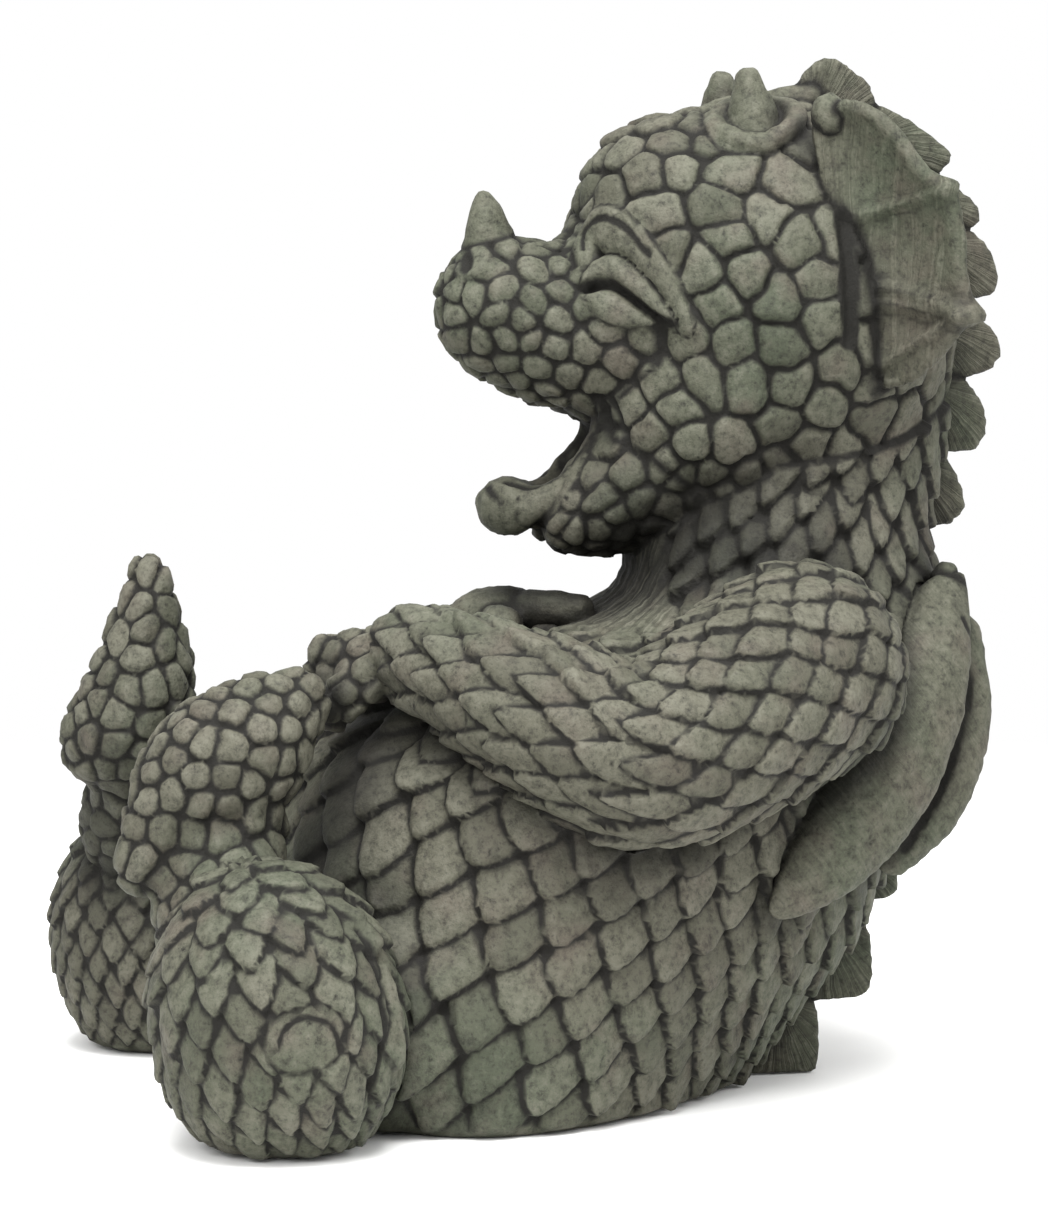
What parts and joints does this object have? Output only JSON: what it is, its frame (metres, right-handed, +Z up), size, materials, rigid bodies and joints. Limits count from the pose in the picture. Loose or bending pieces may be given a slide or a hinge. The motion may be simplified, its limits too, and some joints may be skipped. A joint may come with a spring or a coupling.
{
  "type": "garden dragon statue",
  "caption": "Seated, laughing garden dragon cast in one piece, leaning back with folded arms, raised feet, scales, back crest, ear fans and folded wings",
  "frame": {"origin": "on the flat underside, below the middle of the body", "axes": "+Z up, the dragon looks along -Y, its left side is +X"},
  "size_m": [0.2214, 0.2536, 0.2764],
  "materials": {
    "cast_stone": "weathered grey-green cast stone, matt, with a dark wash in the grooves and paler worn edges"
  },
  "bodies": {
    "root": {"dragon": "cast_stone"}
  },
  "joints": []
}
